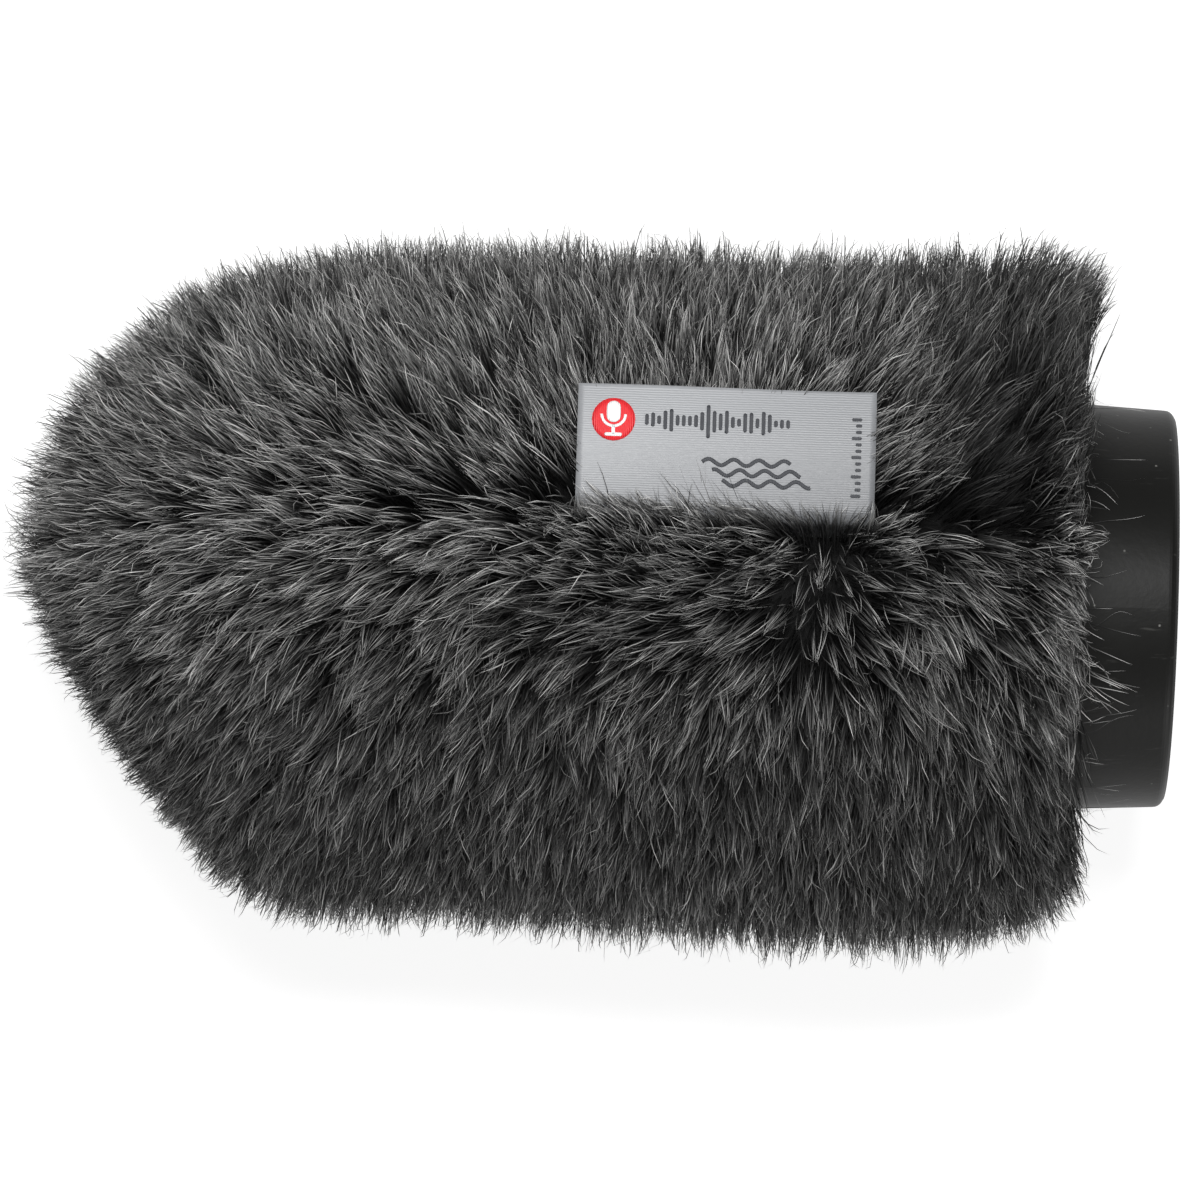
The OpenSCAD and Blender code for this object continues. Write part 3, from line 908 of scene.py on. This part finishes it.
def adhesivePaint(start):
    place = objectPlace(start)
    flow = noise(place, 160.0, 4.0, 0.6)
    return {"Base Color": flow.mix((0.06, 0.052, 0.036), (0.15, 0.135, 0.10)),
            "Roughness": 0.25 + flow * 0.3,
            "Normal": bump(flow, 0.25 * mm)}


# Open cells: round pores of two sizes between thin walls.
def foamPaint(start):
    place = objectPlace(start)
    edges = cells(place, "DISTANCE_TO_EDGE", 900.0)
    pores = cells(place, "F1", 380.0)
    walls = edges.step(0.22, 0.03) * pores.step(0.2, 0.5)
    return {"Base Color": walls.mix((0.004, 0.004, 0.0045), (0.055, 0.055, 0.06)),
            "Normal": bump(walls, 0.4 * mm)}


# Knitted backing: rows of loops across the cloth.
def backingPaint(start):
    place = objectPlace(start)
    wales = ribs(place, "X", 420.0)
    courses = ribs(place, "Y", 420.0)
    yarn = noise(place, 1400.0, 3.0, 0.7)
    loops = wales * courses * 0.6 + yarn * 0.4
    return {"Base Color": loops.mix(0.008, 0.05),
            "Normal": bump(loops, 0.15 * mm)}


rubberMaterial = makeMaterial("collarRubber", {"Specular IOR Level": 0.13}, rubberPaint)
elasticMaterial = makeMaterial("hemElastic", {"Roughness": 0.8, "Sheen Weight": 0.2}, elasticPaint)
threadMaterial = makeMaterial("sewingThread", {"Roughness": 0.6}, threadPaint)
adhesiveMaterial = makeMaterial("curedAdhesive", {"Specular IOR Level": 0.5}, adhesivePaint)
foamMaterial = makeMaterial("openCellFoam", {"Roughness": 0.95, "Specular IOR Level": 0.1}, foamPaint)
backingMaterial = makeMaterial("knittedBacking", {"Roughness": 0.85, "Sheen Weight": 0.2}, backingPaint)
for name, material in (("end_collar", rubberMaterial), ("hem_elastic", elasticMaterial),
                       ("collar_bond", adhesiveMaterial), ("nose_bond", adhesiveMaterial),
                       ("panel_seam_thread", threadMaterial), ("cuff_seam_thread", threadMaterial),
                       ("hem_thread", threadMaterial), ("label_stitches", threadMaterial)):
    frame["nodes"][name].data.materials.clear()
    frame["nodes"][name].data.materials.append(material)


backing = {
    "thick": 0.5 * mm,
    "seamGap": 0.006,  # radians left open at each side of the long seam
}


# Backing cloth of one panel: radius backRadius over the cylinder and the dome.
def backingSheet(name, ahead, angles):
    ahead, angles = np.meshgrid(ahead, angles, indexing="ij")
    rise = np.clip((ahead - body["domeAt"]) / body["backRadius"], 0, np.pi / 2)[..., None]
    outward = spoke(angles) * np.cos(rise)
    outward[..., :1] -= np.sin(rise)
    points = outward * body["backRadius"]
    points[..., 0] -= np.minimum(ahead, body["domeAt"])
    piece = weld(addMesh(name, points, gridFaces(*ahead.shape)))
    thicken(piece, backing["thick"])
    finish(piece, backingMaterial)
    return piece


overNose = body["backRadius"] * math.pi / 2
panelSteps = np.concatenate([np.linspace(body["cuffSeamAt"] + 0.2 * mm, body["domeAt"], 40)[:-1],
                             body["domeAt"] + np.linspace(0, overNose, 26)])
panelAngles = np.linspace(backing["seamGap"], np.pi - backing["seamGap"], 60)
for sideName, way in (("right", 1), ("left", -1)):
    cloth = backingSheet(f"{sideName}_backing", panelSteps, way * panelAngles)
    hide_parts(f"{sideName}_fur_panel")
cuffSteps = np.linspace(body["hemAt"] + 0.3 * mm, body["cuffSeamAt"] - 0.2 * mm, 12)
cuffAngles = np.linspace(backing["seamGap"], 2 * np.pi - backing["seamGap"], 120)
cuffCloth = backingSheet("cuff_backing", cuffSteps, cuffAngles)
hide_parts("rear_fur_cuff")
print("backing cut")


# Foam core.

foam = {
    "start": -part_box("foam_tube")[1].x,
    "split": -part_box("foam_tube")[0].x,  # where the nose is bonded on
    "noseStart": -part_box("foam_nose")[1].x,
    "skirtEnd": 0.4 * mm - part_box("end_collar")[0].x,
    "skirtHole": 27.7 * mm,  # radius inside the collar's skirt
    "sleeveHole": 13.4 * mm,  # and round its sleeve
    "sleeveEnd": 22.4 * mm,
    "slot": 12.5 * mm,  # radius of the microphone's slot
    "soft": 1.0 * mm,  # rounding of cut edges
}


# Each corner of a profile becomes a curve (1-t)^2 start + 2 t (1-t) corner + t^2 end, where start
# and end lie its radius away along the two edges.
def rounded(corners, radii, steps=6):
    corners = np.asarray(corners, float)
    before, after = np.roll(corners, 1, 0) - corners, np.roll(corners, -1, 0) - corners
    reach = np.asarray(radii, float)[:, None]
    start = corners + before / lengths(before) * reach
    end = corners + after / lengths(after) * reach
    t = np.linspace(0, 1, steps)[None, :, None]
    curve = (1 - t) ** 2 * start[:, None] + 2 * t * (1 - t) * corners[:, None] + t ** 2 * end[:, None]
    return curve.reshape(-1, 2)


# Points on the dome from one rise to another: ahead = domeAt + R sin(rise), radius = R cos(rise).
def domeArc(low, high, steps):
    rise = np.linspace(low, high, steps)
    return np.stack([body["domeAt"] + body["foamRadius"] * np.sin(rise),
                     body["foamRadius"] * np.cos(rise)], -1)


splitRise = math.asin((foam["split"] - body["domeAt"]) / body["foamRadius"])
noseRise = math.asin((foam["noseStart"] - body["domeAt"]) / body["foamRadius"])
tubeCorners = [(foam["start"], foam["sleeveHole"]), (foam["sleeveEnd"], foam["sleeveHole"]),
               (foam["sleeveEnd"], foam["slot"]), (foam["split"], foam["slot"]),
               *domeArc(splitRise, 0, 14).tolist(),
               (foam["skirtEnd"], body["foamRadius"]), (foam["skirtEnd"], foam["skirtHole"]),
               (foam["start"], foam["skirtHole"])]
soft = foam["soft"]
tubeRadii = [soft, 0.4 * mm, 0.4 * mm, 0.2 * mm, 0.2 * mm] + [0] * 13 + [soft, soft, soft]
foamCore = turned("foam_core", rounded(tubeCorners, tubeRadii))
noseProfile = np.concatenate([[(foam["noseStart"], 0)], domeArc(noseRise, math.pi / 2, 20)])
foamCap = turned("foam_cap", noseProfile, closed=False)
for piece, node in ((foamCore, "foam_tube"), (foamCap, "foam_nose")):
    finish(piece, foamMaterial)
    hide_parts(node)
print("foam cut")


# Loose hairs on the collar.

# Lengths in mm, angles in radians from the upper seam.
loose = {
    "lint": {"count": 170, "from": 15.5, "drop": (0.0, 1.5), "run": (1.5, 10.5), "often": 2.5,
             "drift": (-3, 3), "curl": 0.8, "rise": (0.05, 0.5), "high": 0.1,
             "turn": (-math.pi, math.pi), "width": 0.07, "tone": (0.25, 0.75)},
    "strands": {"count": 60, "from": 18.0, "drop": (0.0, 1.0), "run": (3.0, 8.5), "often": 1.4,
                "drift": (-5, 3), "curl": 0.35, "rise": (0.3, 1.6), "high": 1.0,
                "turn": (-math.pi, math.pi), "width": 0.14, "tone": (0.45, 0.9)},
    "tassel": {"count": 16, "from": 18.5, "drop": (0.0, 1.0), "run": (5.0, 12.0), "often": 1.0,
               "drift": (-9, -4), "curl": 0.3, "rise": (0.3, 1.4), "high": 1.2,
               "turn": (-0.62, -0.38), "width": 0.16, "tone": (0.5, 0.95)},
}
loosePoints = 12


# Each hair leaves the fur's edge and wanders: round the collar by drift t + curl sin(turns t),
# back over it by run t, and off the rubber by high (1 - t) + rise sin(pi t). The taper is the skirt's.
def looseHairs(kind):
    n = kind["count"]
    t = np.linspace(0, 1, loosePoints)[None]

    def anyOf(low, high):
        return random.uniform(low, high, (n, 1))

    shortest, longest = kind["run"]
    run = shortest + (longest - shortest) * anyOf(0, 1) ** kind["often"]
    ahead = kind["from"] - anyOf(*kind["drop"]) - run * t + anyOf(-0.5, 0.5) * np.sin(anyOf(3, 8) * t)
    drift = anyOf(*kind["drift"]) * t + anyOf(-kind["curl"], kind["curl"]) * np.sin(anyOf(2, 8) * t)
    turn = anyOf(*kind["turn"]) + drift * mm / collarHigh.y
    taper = 0.7 * (1 - ahead / 15)
    lift = kind["high"] * (1 - t) + 0.1 - taper + anyOf(*kind["rise"]) * np.sin(math.pi * t)
    radius = collarHigh.y + lift * mm
    curves = spoke(turn) * radius[..., None]
    curves[..., 0] = -ahead * mm
    return curves, kind["width"] * mm * random.uniform(0.6, 1.3, n), random.uniform(*kind["tone"], n)


looseParts = zip(*(looseHairs(kind) for kind in loose.values()))
finish(ribbonMesh("collar_lint", *map(np.concatenate, looseParts)), furMaterial)
print("loose hairs scattered")


# Stage, light, camera.

stage = {
    "floorSide": 3.0,
    "floorGap": 0.02 * mm,  # under the belly
    "view": (-85.9 * mm, -1.2 * mm, 1.6),  # where the camera stands, looking down
    "frameWidth": 181.5 * mm,  # how much the camera takes in at the axis
    "roll": 0.030,
    "sky": 0.24,  # strength of the light from all round
    # Place, aim, size and watts of each softbox.
    "topBox": ((-0.09, 0.25, 0.9), (-0.08, 0, 0), (0.35, 0.2), 10.0),
    "fillBox": ((0.45, -0.8, 0.32), (-0.05, 0, 0), (0.6, 0.5), 5.0),
}
half, floorZ = stage["floorSide"] / 2, body["bellyZ"] - stage["floorGap"]
floor = addMesh("floor", [[-half, -half, floorZ], [half, -half, floorZ], [half, half, floorZ],
                          [-half, half, floorZ]], [[0, 1, 2, 3]], False)
floorWhite = {"Roughness": 0.9, "Base Color": (0.28, 0.28, 0.28, 1),
              "Emission Color": (1, 1, 1, 1), "Emission Strength": 0.84}
floor.data.materials.append(makeMaterial("floorWhite", floorWhite, lambda start: {}))

world = bpy.data.worlds.new("studio")
world.use_nodes = True
sky = world.node_tree.nodes["Background"]
sky.inputs["Color"].default_value = (1, 1, 1, 1)
sky.inputs["Strength"].default_value = stage["sky"]
bpy.context.scene.world = world


def softbox(name, place, aim, size, power):
    lamp = bpy.data.lights.new(name, "AREA")
    lamp.shape, lamp.size, lamp.size_y, lamp.energy = "RECTANGLE", size[0], size[1], power
    box = bpy.data.objects.new(name, lamp)
    bpy.context.scene.collection.objects.link(box)
    box.location = place
    box.rotation_euler = (Vector(aim) - Vector(place)).to_track_quat("-Z", "Y").to_euler()


for name in ("topBox", "fillBox"):
    softbox(name, *stage[name])

camera = bpy.data.cameras.new("camera")
camera.sensor_width = 36
camera.lens = camera.sensor_width * stage["view"][2] / stage["frameWidth"]
camera.clip_start, camera.clip_end = 0.05, 20
eye = bpy.data.objects.new("camera", camera)
bpy.context.scene.collection.objects.link(eye)
eye.location = stage["view"]
eye.rotation_euler = (0, 0, stage["roll"])
bpy.context.scene.camera = eye
bpy.context.scene.view_settings.view_transform = "Standard"

print("ready")
